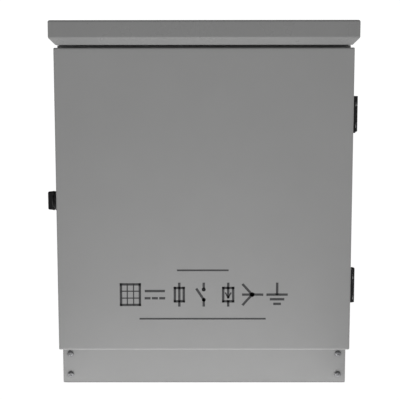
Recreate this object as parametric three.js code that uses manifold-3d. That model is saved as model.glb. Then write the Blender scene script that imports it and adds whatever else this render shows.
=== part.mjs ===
// DC combiner box for a photovoltaic array: a wall-mounted sheet-steel cabinet with a rain hood, a side-hinged pan door
// with a side lock, and a screwed-on skirt that hides the cable glands. Inside are fuse-disconnectors on a DIN rail,
// busbars, a DC circuit breaker, a plug-in surge arrester and an earth bar.
// Millimetres, +Z up, +X to the hinge side, -Y to the front. The origin is the bottom centre of the overall box.
import * as THREE from "three";
import { mergeVertices } from "three/addons/utils/BufferGeometryUtils.js";
import Module from "manifold-3d";

// ---------- driving dimensions ----------
const T = 1.5; // sheet thickness of the cabinet, the hood and the door
const GAP = 0.3; // assembly gap between neighbouring pieces
const HEIGHT = 700;
const BODY_X = 276; // half the width of the cabinet body
const DOOR_X = 279; // half the width of the door
const HOOD_X = 286.7; // half the width of the hood
const HOOD_FRONT = -117; // it reaches out over the door
const HOOD_FOOT = 655;
const DOOR_FRONT = -105;
const DOOR_REAR = -71;
const FRAME_FRONT = -69.5; // front face of the door frame and of the skirt
const BACK_REAR = 95; // rear face of the back panel
const WALL = 117; // plane of the wall
const DOOR_Z0 = 75.5;
const DOOR_Z1 = 650;
const SKIRT_H = 75;
const BODY_TOP = HOOD_FOOT - GAP;
const OPEN_X = 240; // half the width of the door frame's opening
const OPEN_Z0 = 104;
const OPEN_Z1 = 624;
const LIP_Y = -93; // front edge of the gutter lip around the opening
const HINGE_X = 285.3;
const HINGE_Y = -70.25;
const HINGE_Z = [525.5, 196]; // centres of the two hinges
const HINGE_H = 68;
const LOCK_Y = (DOOR_FRONT + DOOR_REAR) / 2;
const LOCK_Z = 363;
const PLATE_Y = 80; // front face of the component plate
const RAIL_Z = [600, 120]; // centres of the two wall rails
const FLOOR_Z = 76; // underside of the gland plate
const SCREW_X = 261.3;
const SCREW_Z = [58.2, 16.9];
const FUSE_Z = 330; // centre of the fuse row
const POLE_PITCH = 72; // one four-pole fuse block
const FUSE_X0 = -219;

const wasm = await Module();
wasm.setup();

// ---------- materials ----------
const std = (color, roughness, metalness) =>
  new THREE.MeshStandardMaterial({ color, roughness, metalness });
const M = {
  coat: std(0x8e8e8c, 0.55, 0.1), // grey powder-coated steel
  zinc: std(0xa9adb0, 0.4, 0.9), // galvanised steel
  steel: std(0xb9bbbd, 0.25, 1.0),
  black: std(0x171718, 0.45, 0.1), // black die casting
  nylon: std(0x26272a, 0.6, 0.0), // gland and breaker plastic
  foam: std(0x2a2a2a, 0.9, 0.0),
  cream: std(0xd8d8d2, 0.5, 0.0), // fuse bases
  copper: std(0xb87346, 0.3, 1.0),
  brass: std(0xc7a24b, 0.35, 1.0),
  resin: std(0xa33024, 0.5, 0.0),
  red: std(0xb5241c, 0.5, 0.0),
  insRed: std(0xb0201c, 0.45, 0.0),
  insBlack: std(0x1c1c1e, 0.45, 0.0),
  insGreen: std(0x5f9a2c, 0.45, 0.0),
};

// ---------- geometry helpers ----------
const solid = (g) => {
  const c = g.index ? g.toNonIndexed() : g.clone();
  for (const k of Object.keys(c.attributes))
    if (k !== "position") c.deleteAttribute(k);
  const m = mergeVertices(c, 1e-4);
  return new wasm.Manifold(
    new wasm.Mesh({
      numProp: 3,
      vertProperties: new Float32Array(m.attributes.position.array),
      triVerts: new Uint32Array(m.index.array),
    }),
  );
};
const geometry = (s) => {
  const m = s.getMesh();
  const g = new THREE.BufferGeometry();
  const v = new Float32Array(m.numVert * 3);
  for (let i = 0; i < m.numVert; i++)
    v.set(m.vertProperties.subarray(i * m.numProp, i * m.numProp + 3), i * 3);
  g.setAttribute("position", new THREE.BufferAttribute(v, 3));
  g.setIndex(new THREE.BufferAttribute(new Uint32Array(m.triVerts), 1));
  g.computeVertexNormals();
  return g;
};
const join = (...gs) => geometry(gs.map(solid).reduce((a, b) => a.add(b)));
const cut = (g, ...tools) =>
  geometry(tools.map(solid).reduce((a, b) => a.subtract(b), solid(g)));

const box = (x0, x1, y0, y1, z0, z1) =>
  new THREE.BoxGeometry(x1 - x0, y1 - y0, z1 - z0).translate(
    (x0 + x1) / 2,
    (y0 + y1) / 2,
    (z0 + z1) / 2,
  );
// a cylinder (or cone) between two coordinates on one axis
const rod = (axis, r, a, b, seg = 16, r2 = r) => {
  const g = new THREE.CylinderGeometry(r2, r, b - a, seg);
  g.translate(0, (a + b) / 2, 0);
  if (axis === "z") g.rotateX(Math.PI / 2);
  if (axis === "x") g.rotateZ(-Math.PI / 2);
  return g;
};
// a closed outline in two coordinates, extruded along the third
const extrude = (points, depth) => {
  const s = new THREE.Shape(points.map(([a, b]) => new THREE.Vector2(a, b)));
  return new THREE.ExtrudeGeometry(s, { depth, bevelEnabled: false });
};
// outline in (y, z), extruded from x0 to x1
const alongX = (points, x0, x1) => {
  const g = extrude(points, x1 - x0);
  g.applyMatrix4(new THREE.Matrix4().set(0, 0, 1, x0, 1, 0, 0, 0, 0, 1, 0, 0, 0, 0, 0, 1));
  return g;
};
// outline in (x, y), extruded from z0 to z1
const alongZ = (points, z0, z1) => extrude(points, z1 - z0).translate(0, 0, z0);
// outline in (x, z), extruded from y0 to y1
const alongY = (points, y0, y1) => {
  const g = extrude(points.map(([x, z]) => [x, -z]), y1 - y0);
  g.applyMatrix4(new THREE.Matrix4().set(1, 0, 0, 0, 0, 0, 1, y0, 0, -1, 0, 0, 0, 0, 0, 1));
  return g;
};
const lathe = (profile, seg = 20) =>
  new THREE.LatheGeometry(
    profile.map(([r, z]) => new THREE.Vector2(r, z)),
    seg,
  ).rotateX(Math.PI / 2); // its axis becomes Z, with a profile given from the bottom up
// a stack of outline rings (each a list of [x, y]) at heights z, closed at both ends: convex rings only
const loft = (rings) => {
  const n = rings[0].pts.length;
  const v = [];
  rings.forEach((r) => r.pts.forEach(([x, y]) => v.push(x, y, r.z)));
  const idx = [];
  for (let k = 0; k + 1 < rings.length; k++)
    for (let i = 0; i < n; i++) {
      const a = k * n + i,
        b = k * n + ((i + 1) % n);
      idx.push(a, b, b + n, a, b + n, a + n);
    }
  for (let i = 1; i + 1 < n; i++) {
    idx.push(0, i + 1, i);
    const o = (rings.length - 1) * n;
    idx.push(o, o + i, o + i + 1);
  }
  const g = new THREE.BufferGeometry();
  g.setAttribute("position", new THREE.BufferAttribute(new Float32Array(v), 3));
  g.setIndex(idx);
  return g;
};
const rect = (x, y0, y1) => [
  [-x, y0],
  [x, y0],
  [x, y1],
  [-x, y1],
];

const root = new THREE.Group();
root.name = "dc_combiner_box";
const put = (parent, name, g, material, x = 0, y = 0, z = 0) => {
  const mesh = new THREE.Mesh(g, material);
  mesh.name = name;
  mesh.position.set(x, y, z);
  parent.add(mesh);
  return mesh;
};

// ---------- cabinet shell ----------
const cabinet = new THREE.Group();
root.add(cabinet);

put(cabinet, "back_panel", box(-BODY_X + T + GAP, BODY_X - T - GAP, BACK_REAR - T, BACK_REAR, 0, BODY_TOP - T - GAP), M.coat);
put(cabinet, "top_panel", box(-BODY_X + T + GAP, BODY_X - T - GAP, FRAME_FRONT + T + GAP, BACK_REAR - T - GAP, BODY_TOP - T, BODY_TOP), M.coat);

// A side wall with a return flange at its foot, where the skirt is screwed on.
const sidePanel = (s) => {
  const y0 = FRAME_FRONT + T + GAP;
  const wall = box(BODY_X - T, BODY_X, y0, BACK_REAR, 0, BODY_TOP);
  const flange = box(248, BODY_X - T + 0.2, y0, y0 + T, 0, SKIRT_H);
  let g = join(wall, flange);
  g = cut(g, ...SCREW_Z.map((z) => rod("y", 3.2, y0 - 2, y0 + 4, 12).translate(SCREW_X, 0, z)));
  if (s < 0) {
    g = g.clone().scale(-1, 1, 1);
    const i = g.index.array;
    for (let k = 0; k < i.length; k += 3) [i[k + 1], i[k + 2]] = [i[k + 2], i[k + 1]];
    g.computeVertexNormals();
  }
  return g;
};
put(cabinet, "side_panel_left", sidePanel(-1), M.coat);
put(cabinet, "side_panel_right", sidePanel(1), M.coat);

// The door frame: a flat ring behind the door, with a gutter lip turned forward around the opening.
{
  const ring = cut(
    box(-BODY_X, BODY_X, FRAME_FRONT, FRAME_FRONT + T, SKIRT_H + GAP, BODY_TOP),
    box(-OPEN_X + T, OPEN_X - T, FRAME_FRONT - 5, FRAME_FRONT + 5, OPEN_Z0 + T, OPEN_Z1 - T),
  );
  const lip = cut(
    box(-OPEN_X, OPEN_X, LIP_Y, FRAME_FRONT + 0.5, OPEN_Z0, OPEN_Z1),
    box(-OPEN_X + T, OPEN_X - T, LIP_Y - 5, FRAME_FRONT + 5, OPEN_Z0 + T, OPEN_Z1 - T),
  );
  put(cabinet, "door_frame", join(ring, lip), M.coat);
}

// The rain hood: a folded cap standing on the roof. Its foot is bent in at the front and the sides, then returned
// as a flange that closes the space above the door and lies on the roof.
{
  const z1 = 668; // where the upright faces are bent in
  const rise = z1 - HOOD_FOOT;
  const front = 13,
    side = 11.6; // how far the foot goes in
  const thick = (run) => T * Math.hypot(1, run / rise); // of the bent part, measured level
  const yB = BACK_REAR + GAP + T;
  const outer = loft([
    { z: HOOD_FOOT, pts: rect(HOOD_X - side, HOOD_FRONT + front, yB) },
    { z: z1, pts: rect(HOOD_X, HOOD_FRONT, yB) },
    { z: HEIGHT, pts: rect(HOOD_X, HOOD_FRONT, yB) },
  ]);
  const low = 1 - T / rise;
  const inner = loft([
    {
      z: HOOD_FOOT + T,
      pts: rect(HOOD_X - side * low - thick(side), HOOD_FRONT + front * low + thick(front), yB - T),
    },
    { z: z1 + 0.6, pts: rect(HOOD_X - T, HOOD_FRONT + T, yB - T) },
    { z: HEIGHT - T, pts: rect(HOOD_X - T, HOOD_FRONT + T, yB - T) },
  ]);
  put(cabinet, "rain_hood", cut(outer, inner, box(-236, 236, -54, 62, HOOD_FOOT - 2, HOOD_FOOT + T + 2)), M.coat);
}

// The skirt: a plate with a stiffening flange folded back along its foot.
{
  const r = 3;
  const s = new THREE.Shape();
  s.moveTo(-BODY_X + r, 0);
  s.lineTo(BODY_X - r, 0);
  s.absarc(BODY_X - r, r, r, -Math.PI / 2, 0, false);
  s.lineTo(BODY_X, SKIRT_H);
  s.lineTo(-BODY_X, SKIRT_H);
  s.lineTo(-BODY_X, r);
  s.absarc(-BODY_X + r, r, r, Math.PI, Math.PI * 1.5, false);
  const plate = new THREE.ExtrudeGeometry(s, { depth: T, bevelEnabled: false, curveSegments: 3 })
    .rotateX(Math.PI / 2)
    .translate(0, FRAME_FRONT + T, 0);
  const flange = box(-247, 247, FRAME_FRONT + T - 0.3, FRAME_FRONT + T + 12, 0, T);
  const holes = [];
  for (const x of [-SCREW_X, SCREW_X])
    for (const z of SCREW_Z) holes.push(rod("y", 3.2, FRAME_FRONT - 3, FRAME_FRONT + 4, 12).translate(x, 0, z));
  put(cabinet, "skirt_cover", cut(join(plate, flange), ...holes), M.coat);
}
// M6 pan-head screws, head to the front
const panScrew = () =>
  lathe(
    [
      [0, -10],
      [2.4, -10],
      [2.9, -9],
      [2.9, 0],
      [6, 0],
      [6, 1.6],
      [4.8, 3.2],
      [2.4, 4],
      [0, 4],
    ],
    16,
  ).rotateX(Math.PI / 2);
[
  ["skirt_screw_upper_left", -SCREW_X, SCREW_Z[0]],
  ["skirt_screw_upper_right", SCREW_X, SCREW_Z[0]],
  ["skirt_screw_lower_left", -SCREW_X, SCREW_Z[1]],
  ["skirt_screw_lower_right", SCREW_X, SCREW_Z[1]],
].forEach(([n, x, z]) => put(cabinet, n, panScrew(), M.steel, x, FRAME_FRONT - GAP, z));

// Wall rails: hat sections behind the back panel, whose ends carry slots for M8 wall bolts.
const wallRail = () => {
  const y0 = BACK_REAR + GAP;
  const hat = alongX(
    [
      [y0, -30],
      [y0 + 2, -30],
      [y0 + 2, -20],
      [WALL, -20],
      [WALL, 20],
      [y0 + 2, 20],
      [y0 + 2, 30],
      [y0, 30],
      [y0, 18],
      [WALL - 2, 18],
      [WALL - 2, -18],
      [y0, -18],
    ],
    -270,
    270,
  );
  const ear = (s) => box(s > 0 ? 262 : -300, s > 0 ? 300 : -262, WALL - 2, WALL, -20, 20);
  const slot = (s) =>
    join(
      box(s * 288.5 - 4.5, s * 288.5 + 4.5, WALL - 6, WALL + 4, -4.5, 4.5),
      rod("y", 4.5, WALL - 6, WALL + 4, 12).translate(s * 288.5, 0, 4.5),
      rod("y", 4.5, WALL - 6, WALL + 4, 12).translate(s * 288.5, 0, -4.5),
    );
  return cut(join(hat, ear(1), ear(-1)), slot(1), slot(-1));
};
put(cabinet, "wall_rail_upper", wallRail(), M.zinc, 0, 0, RAIL_Z[0]);
put(cabinet, "wall_rail_lower", wallRail(), M.zinc, 0, 0, RAIL_Z[1]);

// ---------- hinges ----------
// Built about the pin, with the bullet end towards +Z; the upper hinge is turned over so that its bullet points down.
const H = HINGE_H / 2;
const BARREL = 5.6;
const bodyLeaf = () => {
  const dx = (x) => x - HINGE_X;
  const plate = box(dx(BODY_X + GAP), dx(283.3), 5.95, 28.25, -H, H);
  const knuckle = (a, b) =>
    join(rod("z", BARREL, a, b, 20), box(dx(279.7), 0.7, 0, 10.25, a, b));
  const bullet = join(
    rod("z", BARREL, 17, H - 5, 20),
    rod("z", BARREL, H - 5, H, 20, 2.2),
    box(dx(279.7), 0.7, 0, 10.25, 17, H - 5),
  );
  return cut(join(plate, knuckle(-H, -17), bullet), rod("z", 3, -H - 1, 30, 12));
};
const doorLeaf = () => {
  const dx = (x) => x - HINGE_X;
  const plate = box(dx(DOOR_X + GAP), dx(283.3), -28, -6.25, -H, H);
  const knuckle = join(rod("z", BARREL, -16.5, 16.5, 20), box(dx(279.7), 0.7, -9.75, 0, -16.5, 16.5));
  return cut(join(plate, knuckle), rod("z", 3, -20, 20, 12));
};
const pin = () => rod("z", 2.7, -H, 29.6, 12);
// turned over in Z without mirroring the side that it is on
const flipZ = (g) => {
  const f = g.clone().scale(1, 1, -1);
  const a = f.index.array;
  for (let k = 0; k < a.length; k += 3) [a[k + 1], a[k + 2]] = [a[k + 2], a[k + 1]];
  f.computeVertexNormals();
  return f;
};
const door = new THREE.Group();
root.add(door);
put(cabinet, "hinge_upper_body_leaf", flipZ(bodyLeaf()), M.black, HINGE_X, HINGE_Y, HINGE_Z[0]);
put(cabinet, "hinge_upper_pin", flipZ(mergeVertices(pin())), M.steel, HINGE_X, HINGE_Y, HINGE_Z[0]);
put(door, "hinge_upper_door_leaf", doorLeaf(), M.black, HINGE_X, HINGE_Y, HINGE_Z[0]);
put(cabinet, "hinge_lower_body_leaf", bodyLeaf(), M.black, HINGE_X, HINGE_Y, HINGE_Z[1]);
put(cabinet, "hinge_lower_pin", pin(), M.steel, HINGE_X, HINGE_Y, HINGE_Z[1]);
put(door, "hinge_lower_door_leaf", doorLeaf(), M.black, HINGE_X, HINGE_Y, HINGE_Z[1]);

// ---------- door ----------
{
  const X = DOOR_X;
  let g = cut(
    box(-X, X, DOOR_FRONT, DOOR_REAR, DOOR_Z0, DOOR_Z1),
    box(-X + T, X - T, DOOR_FRONT + T, DOOR_REAR - T, DOOR_Z0 + T, DOOR_Z1 - T),
    box(-X + 7.5, X - 7.5, DOOR_FRONT + T, DOOR_REAR + 5, DOOR_Z0 + 7.5, DOOR_Z1 - 7.5),
    rod("x", 7.8, -X - 3, -X + 5, 16).translate(0, LOCK_Y, LOCK_Z),
  );
  put(door, "door_panel", g, M.coat);
  const w = 6.2;
  const cx = OPEN_X - T / 2;
  const gasket = cut(
    box(-cx - w, cx + w, DOOR_FRONT + T + GAP, LIP_Y - GAP, OPEN_Z0 + T / 2 - w, OPEN_Z1 - T / 2 + w),
    box(-cx + w, cx - w, DOOR_FRONT, LIP_Y + 5, OPEN_Z0 + T / 2 + w, OPEN_Z1 - T / 2 - w),
  );
  put(door, "door_gasket", gasket, M.foam);
}

// ---------- lock on the door's free side ----------
// Built about its spindle, which lies along X; the grip points outwards to -X.
const lock = new THREE.Group();
door.add(lock);
lock.position.set(0, LOCK_Y, LOCK_Z);
{
  const s = new THREE.Shape(); // obround, 38 high by 28 deep, in (y, z)
  s.absarc(0, 5, 14, 0, Math.PI, false);
  s.absarc(0, -5, 14, Math.PI, Math.PI * 2, false);
  const plate = new THREE.ExtrudeGeometry(s, { depth: 4.2, bevelEnabled: false, curveSegments: 8 });
  plate.applyMatrix4(new THREE.Matrix4().set(0, 0, 1, -283.5, 1, 0, 0, 0, 0, 1, 0, 0, 0, 0, 0, 1));
  put(
    lock,
    "lock_housing",
    cut(join(plate, rod("x", 7.5, -281, -264, 16)), rod("x", 4.4, -290, -260, 12)),
    M.black,
  );
  put(lock, "lock_nut", cut(rod("x", 12.7, -277.2, -272.4, 6), rod("x", 7.8, -280, -270, 16)), M.steel);
  const grip = alongX(
    [
      [-4.5, -13.6],
      [-2.4, -16.65],
      [2.4, -16.65],
      [4.5, -13.6],
      [4.5, 13.6],
      [2.4, 16.65],
      [-2.4, 16.65],
      [-4.5, 13.6],
    ],
    -296,
    -286,
  );
  put(lock, "lock_knob", join(rod("x", 13.6, -287, -283.8, 20), grip, rod("x", 4, -284.5, -258.5, 12)), M.black);
  // unlocked it points to the rear; it turns down, behind the striker's lip
  const lobe = alongX(
    [
      [14.5, 3.2],
      [13.4, 4.5],
      [0, 6.5],
      [0, -6.5],
      [13.4, -4.5],
      [14.5, -3.2],
    ],
    -262.9,
    -260.4,
  );
  put(lock, "lock_tongue", cut(join(rod("x", 7, -262.9, -260.4, 16), lobe), rod("x", 4.3, -270, -250, 12)), M.steel);
}
// The striker that the tongue turns behind, on the door frame.
put(
  cabinet,
  "lock_striker",
  join(
    box(-269.5, -248, FRAME_FRONT - GAP - 1.6, FRAME_FRONT - GAP, 336, 353.8),
    box(-257.5, -255.7, -95.2, FRAME_FRONT - GAP - 0.5, 341, 353.8),
    box(-266, -256, -95.2, -93.5, 341, 353.8),
  ),
  M.zinc,
);

// ---------- gland plate and glands ----------
const STRING_X = [-195, -65, 65, 195];
const OUT_X = [-60, 60];
{
  let holes = [];
  const hole = (x, y, r) => rod("z", r, FLOOR_Z - 4, FLOOR_Z + 6, 20).translate(x, y, 0);
  STRING_X.forEach((x) => holes.push(hole(x, -18, 20.3)));
  OUT_X.forEach((x) => holes.push(hole(x, 52, 20.3)));
  holes.push(hole(150, 52, 8.3), hole(-150, 52, 6.3));
  put(
    cabinet,
    "gland_plate",
    cut(box(-BODY_X + T + GAP, BODY_X - T - GAP, FRAME_FRONT + T + GAP, BACK_REAR - T - GAP, FLOOR_Z, FLOOR_Z + 2), ...holes),
    M.coat,
  );
}
// A gland seen from the plate down: threaded neck, hexagonal collar and ribbed dome.
const gland = (r, af, down, bore, seg = 20) => {
  const rc = af / 2 / Math.cos(Math.PI / 6);
  const neck = rod("z", r, -12, 12, seg);
  const collar = rod("z", rc, -10, -GAP, 6);
  const dome = lathe(
    [
      [0, -down],
      [af * 0.34, -down],
      [af * 0.46, -down + 7],
      [af * 0.46, -9.8],
      [0, -9.8],
    ],
    seg,
  );
  const g = join(neck, collar, dome);
  return bore ? cut(g, rod("z", bore, -down - 2, 15, seg)) : g;
};
STRING_X.forEach((x, i) =>
  put(cabinet, "string_gland_" + (i + 1), gland(20, 50, 34, 0), M.nylon, x, -18, FLOOR_Z),
);
put(cabinet, "output_gland_positive", gland(20, 50, 34, 13), M.nylon, OUT_X[0], 52, FLOOR_Z);
put(cabinet, "output_gland_negative", gland(20, 50, 34, 13), M.nylon, OUT_X[1], 52, FLOOR_Z);
put(cabinet, "earth_gland", gland(8, 20, 24, 4.4, 16), M.nylon, 150, 52, FLOOR_Z);
put(
  cabinet,
  "vent_plug",
  lathe(
    [
      [0, -9],
      [7, -9],
      [8.5, -7],
      [8.5, -GAP],
      [6, -GAP],
      [6, 10],
      [0, 10],
    ],
    16,
  ),
  M.nylon,
  -150,
  52,
  FLOOR_Z,
);

// ---------- component plate ----------
const parts = new THREE.Group();
root.add(parts);
put(
  parts,
  "component_plate",
  alongZ(
    [
      [-228, PLATE_Y],
      [228, PLATE_Y],
      [228, BACK_REAR - T - GAP],
      [226, BACK_REAR - T - GAP],
      [226, PLATE_Y + 2],
      [-226, PLATE_Y + 2],
      [-226, BACK_REAR - T - GAP],
      [-228, BACK_REAR - T - GAP],
    ],
    112,
    612,
  ),
  M.zinc,
);
const dinRail = (x0, x1) => {
  const b = PLATE_Y - GAP;
  return alongX(
    [
      [b, -13.5],
      [b, 13.5],
      [b - 6.3, 13.5],
      [b - 6.3, 17.5],
      [b - 7.5, 17.5],
      [b - 7.5, 12.3],
      [b - 1.2, 12.3],
      [b - 1.2, -12.3],
      [b - 7.5, -12.3],
      [b - 7.5, -17.5],
      [b - 6.3, -17.5],
      [b - 6.3, -13.5],
    ],
    x0,
    x1,
  );
};
put(parts, "din_rail_fuses", dinRail(-224, 90), M.zinc, 0, 0, FUSE_Z);
put(parts, "din_rail_arrester", dinRail(-224, -130), M.zinc, 0, 0, 520);

// Four-pole fuse-disconnectors: a base with a pocket, and a carrier that swings out about its lower edge.
const BASE_REAR = PLATE_Y - GAP - 7.5 - GAP; // on the rail's face
const fuseBase = () => {
  const w = 71.4;
  const body = alongX(
    [
      [BASE_REAR, -40],
      [BASE_REAR, 40],
      [38, 40],
      [38, 30],
      [24, 26],
      [24, -26],
      [38, -30],
      [38, -40],
    ],
    0,
    w,
  );
  const pocket = box(1.2, w - 1.2, 10, 58, -24, 24);
  return cut(body, pocket);
};
const PIVOT = [28, -21]; // of the carrier, in (y, z) about the row's centre
const carrier = () => {
  const pts = [];
  const R = 44.4;
  // the inner end follows a circle about the pivot, so that it leaves the pocket freely
  for (let a = 84; a >= 38; a -= 9.2) {
    const t = (a * Math.PI) / 180;
    pts.push([PIVOT[0] + R * Math.cos(t), PIVOT[1] + R * Math.sin(t)]);
  }
  pts.push([57.5, 0], [57.5, -20], [52, PIVOT[1] - 2.5]);
  for (let a = -90; a >= -180; a -= 30) {
    const t = (a * Math.PI) / 180;
    pts.push([PIVOT[0] + 2.6 * Math.cos(t), PIVOT[1] + 2.6 * Math.sin(t)]);
  }
  pts.push([23, -14], [14, -12], [9, 12], [12, 20], [23.4, 23.2]);
  const ok = pts.filter(([y]) => y <= 57.6).reverse();
  return alongX(ok, 1.7, 69.7);
};
for (let i = 0; i < 4; i++) {
  const block = new THREE.Group();
  block.position.set(FUSE_X0 + i * POLE_PITCH, 0, FUSE_Z);
  parts.add(block);
  put(block, "fuse_base_" + (i + 1), fuseBase(), M.cream);
  put(block, "fuse_carrier_" + (i + 1), carrier(), M.cream);
}

// Busbars: one copper bar each, with a riser up to the breaker.
const BREAKER_X = 92;
const BREAKER_Z = 412;
put(
  parts,
  "positive_busbar",
  alongY(
    [
      [-215, FUSE_Z + 40.4],
      [BREAKER_X + 27.5, FUSE_Z + 40.4],
      [BREAKER_X + 27.5, BREAKER_Z - GAP],
      [BREAKER_X + 7.5, BREAKER_Z - GAP],
      [BREAKER_X + 7.5, FUSE_Z + 56],
      [-215, FUSE_Z + 56],
    ],
    45,
    48,
  ),
  M.copper,
);
put(
  parts,
  "negative_busbar",
  alongY(
    [
      [-215, 222],
      [BREAKER_X + 97.5, 222],
      [BREAKER_X + 97.5, BREAKER_Z - GAP],
      [BREAKER_X + 77.5, BREAKER_Z - GAP],
      [BREAKER_X + 77.5, 247],
      [-215, 247],
    ],
    45,
    49,
  ),
  M.copper,
);
const insulator = () =>
  lathe(
    [
      [0, 0],
      [12, 0],
      [15, 7],
      [12, 15],
      [15, 23],
      [12, 30.4],
      [0, 30.4],
    ],
    16,
  ).rotateX(-Math.PI / 2);
put(parts, "busbar_insulator_left", insulator(), M.resin, -190, 49.3, 234.5);
put(parts, "busbar_insulator_right", insulator(), M.resin, 150, 49.3, 234.5);

// DC circuit breaker with a toggle that swings in a slot.
{
  const w = 105;
  const g = new THREE.Group();
  g.position.set(BREAKER_X, 0, BREAKER_Z);
  parts.add(g);
  const body = alongX(
    [
      [79.7, 0],
      [79.7, 165],
      [30, 165],
      [30, 139],
      [-2, 139],
      [-2, 113],
      [-8, 113],
      [-8, 52],
      [-2, 52],
      [-2, 26],
      [30, 26],
      [30, 0],
    ],
    0,
    w,
  );
  put(g, "breaker_body", cut(body, box(w / 2 - 9, w / 2 + 9, -12, 24, 60, 105)), M.nylon);
  const tilt = (20 * Math.PI) / 180;
  const toggle = join(
    rod("x", 7, -7, 7, 16),
    alongX(
      [
        [0, -6.5],
        [0, 6.5],
        [-20, 5],
        [-37, 4],
        [-38, 2.6],
        [-38, -2.6],
        [-37, -4],
        [-20, -5],
      ],
      -7,
      7,
    ),
  ).rotateX(tilt); // down: off
  put(g, "breaker_toggle", toggle, M.black, w / 2, 14, 82.5);
}

// Plug-in surge arrester: a U-shaped base and three modules.
{
  const g = new THREE.Group();
  g.position.set(-215, 0, 520);
  parts.add(g);
  put(
    g,
    "arrester_base",
    alongX(
      [
        [BASE_REAR, -45],
        [BASE_REAR, 45],
        [30, 45],
        [30, 23],
        [52, 23],
        [52, -23],
        [30, -23],
        [30, -45],
      ],
      0,
      54,
    ),
    M.cream,
  );
  for (let i = 0; i < 3; i++)
    put(
      g,
      "arrester_module_" + (i + 1),
      alongX(
        [
          [51.7, -22.7],
          [51.7, 22.7],
          [14, 22.7],
          [10, 16],
          [10, -16],
          [14, -22.7],
        ],
        0.3,
        17.7,
      ),
      M.red,
      i * 18,
      0,
      0,
    );
}

// Earth bar on two feet.
put(
  parts,
  "earth_bar",
  join(
    box(-110, 110, 60, 68, 150, 162),
    box(-104, -90, 67, PLATE_Y - GAP, 151, 161),
    box(90, 104, 67, PLATE_Y - GAP, 151, 161),
  ),
  M.brass,
);

// Leads of the surge arrester, along their routes.
const lead = (pts, r = 2.4) => {
  const s = new THREE.Shape();
  for (let i = 0; i < 8; i++) {
    const a = (i * Math.PI) / 4;
    i ? s.lineTo(r * Math.cos(a), r * Math.sin(a)) : s.moveTo(r, 0);
  }
  const curve = new THREE.CatmullRomCurve3(
    pts.map((p) => new THREE.Vector3(...p)),
    false,
    "centripetal",
  );
  return new THREE.ExtrudeGeometry(s, { steps: 26, extrudePath: curve, bevelEnabled: false });
};
put(parts, "arrester_lead_positive", lead([[-206, 42, 386.6], [-206, 40, 400], [-206, 38, 420], [-206, 40, 450], [-206, 41, 474.5]]), M.insRed);
put(
  parts,
  "arrester_lead_negative",
  lead([[-215.6, 42, 235], [-220, 42, 242], [-223, 42, 262], [-223.3, 42, 330], [-223, 42, 400], [-218, 38, 436], [-190, 32, 450], [-172, 38, 460], [-170, 41, 474.5]]),
  M.insBlack,
);
put(
  parts,
  "arrester_lead_earth",
  lead([[-188, 41, 565.5], [-188, 41, 578], [-198, 46, 590], [-215, 56, 584], [-222, 60, 560], [-222.6, 60, 450], [-222.6, 60, 330], [-222.6, 60, 220], [-216, 62, 182], [-190, 63, 160], [-150, 63, 156], [-110.6, 64, 156]]),
  M.insGreen,
);

export default root;
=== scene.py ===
import math
import bmesh
import bpy
import numpy as np
from mathutils import Matrix, Vector

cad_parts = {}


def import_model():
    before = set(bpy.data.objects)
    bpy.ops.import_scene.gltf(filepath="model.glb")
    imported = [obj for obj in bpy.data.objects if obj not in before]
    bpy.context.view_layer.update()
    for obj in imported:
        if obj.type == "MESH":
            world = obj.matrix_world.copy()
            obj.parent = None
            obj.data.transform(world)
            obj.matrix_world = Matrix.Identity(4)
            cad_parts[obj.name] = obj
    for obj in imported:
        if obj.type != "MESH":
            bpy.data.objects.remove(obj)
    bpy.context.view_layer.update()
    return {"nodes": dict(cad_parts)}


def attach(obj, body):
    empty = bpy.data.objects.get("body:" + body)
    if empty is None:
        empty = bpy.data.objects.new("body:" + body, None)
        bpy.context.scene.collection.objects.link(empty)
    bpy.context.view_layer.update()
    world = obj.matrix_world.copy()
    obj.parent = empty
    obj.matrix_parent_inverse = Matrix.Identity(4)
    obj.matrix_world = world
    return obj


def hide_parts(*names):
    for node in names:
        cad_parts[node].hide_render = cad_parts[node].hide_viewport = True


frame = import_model()
NODES = frame["nodes"]
MM = 0.001

FRONT_L = 1.0  # radiance of the floor light in front

# ---------------------------------------------------------------- camera
# The fitted camera: position in metres, its axes, and the focal length in pixels of a 400 pixel frame.
CAM = Vector((-0.0018, -2.063, 0.6300))
PITCH, YAW, ROLL, FPX = 0.134, 0.003, -0.001, 1049.25
cy, sy, cp, sp, cr, sr = (f(a) for a in (YAW, PITCH, ROLL) for f in (math.cos, math.sin))
right = Vector((cy, sy, 0))
up = Vector((-sy * sp, cy * sp, cp))
fwd = Vector((-sy * cp, cy * cp, -sp))
r_ = right * cr + up * sr
u_ = up * cr - right * sr
cam_data = bpy.data.cameras.new("camera")
cam_data.sensor_width = 36.0
cam_data.lens = FPX / 400 * 36
cam = bpy.data.objects.new("camera", cam_data)
m = Matrix((r_, u_, -fwd)).transposed().to_4x4()
m.translation = CAM
cam.matrix_world = m
bpy.context.scene.collection.objects.link(cam)
bpy.context.scene.camera = cam


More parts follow.
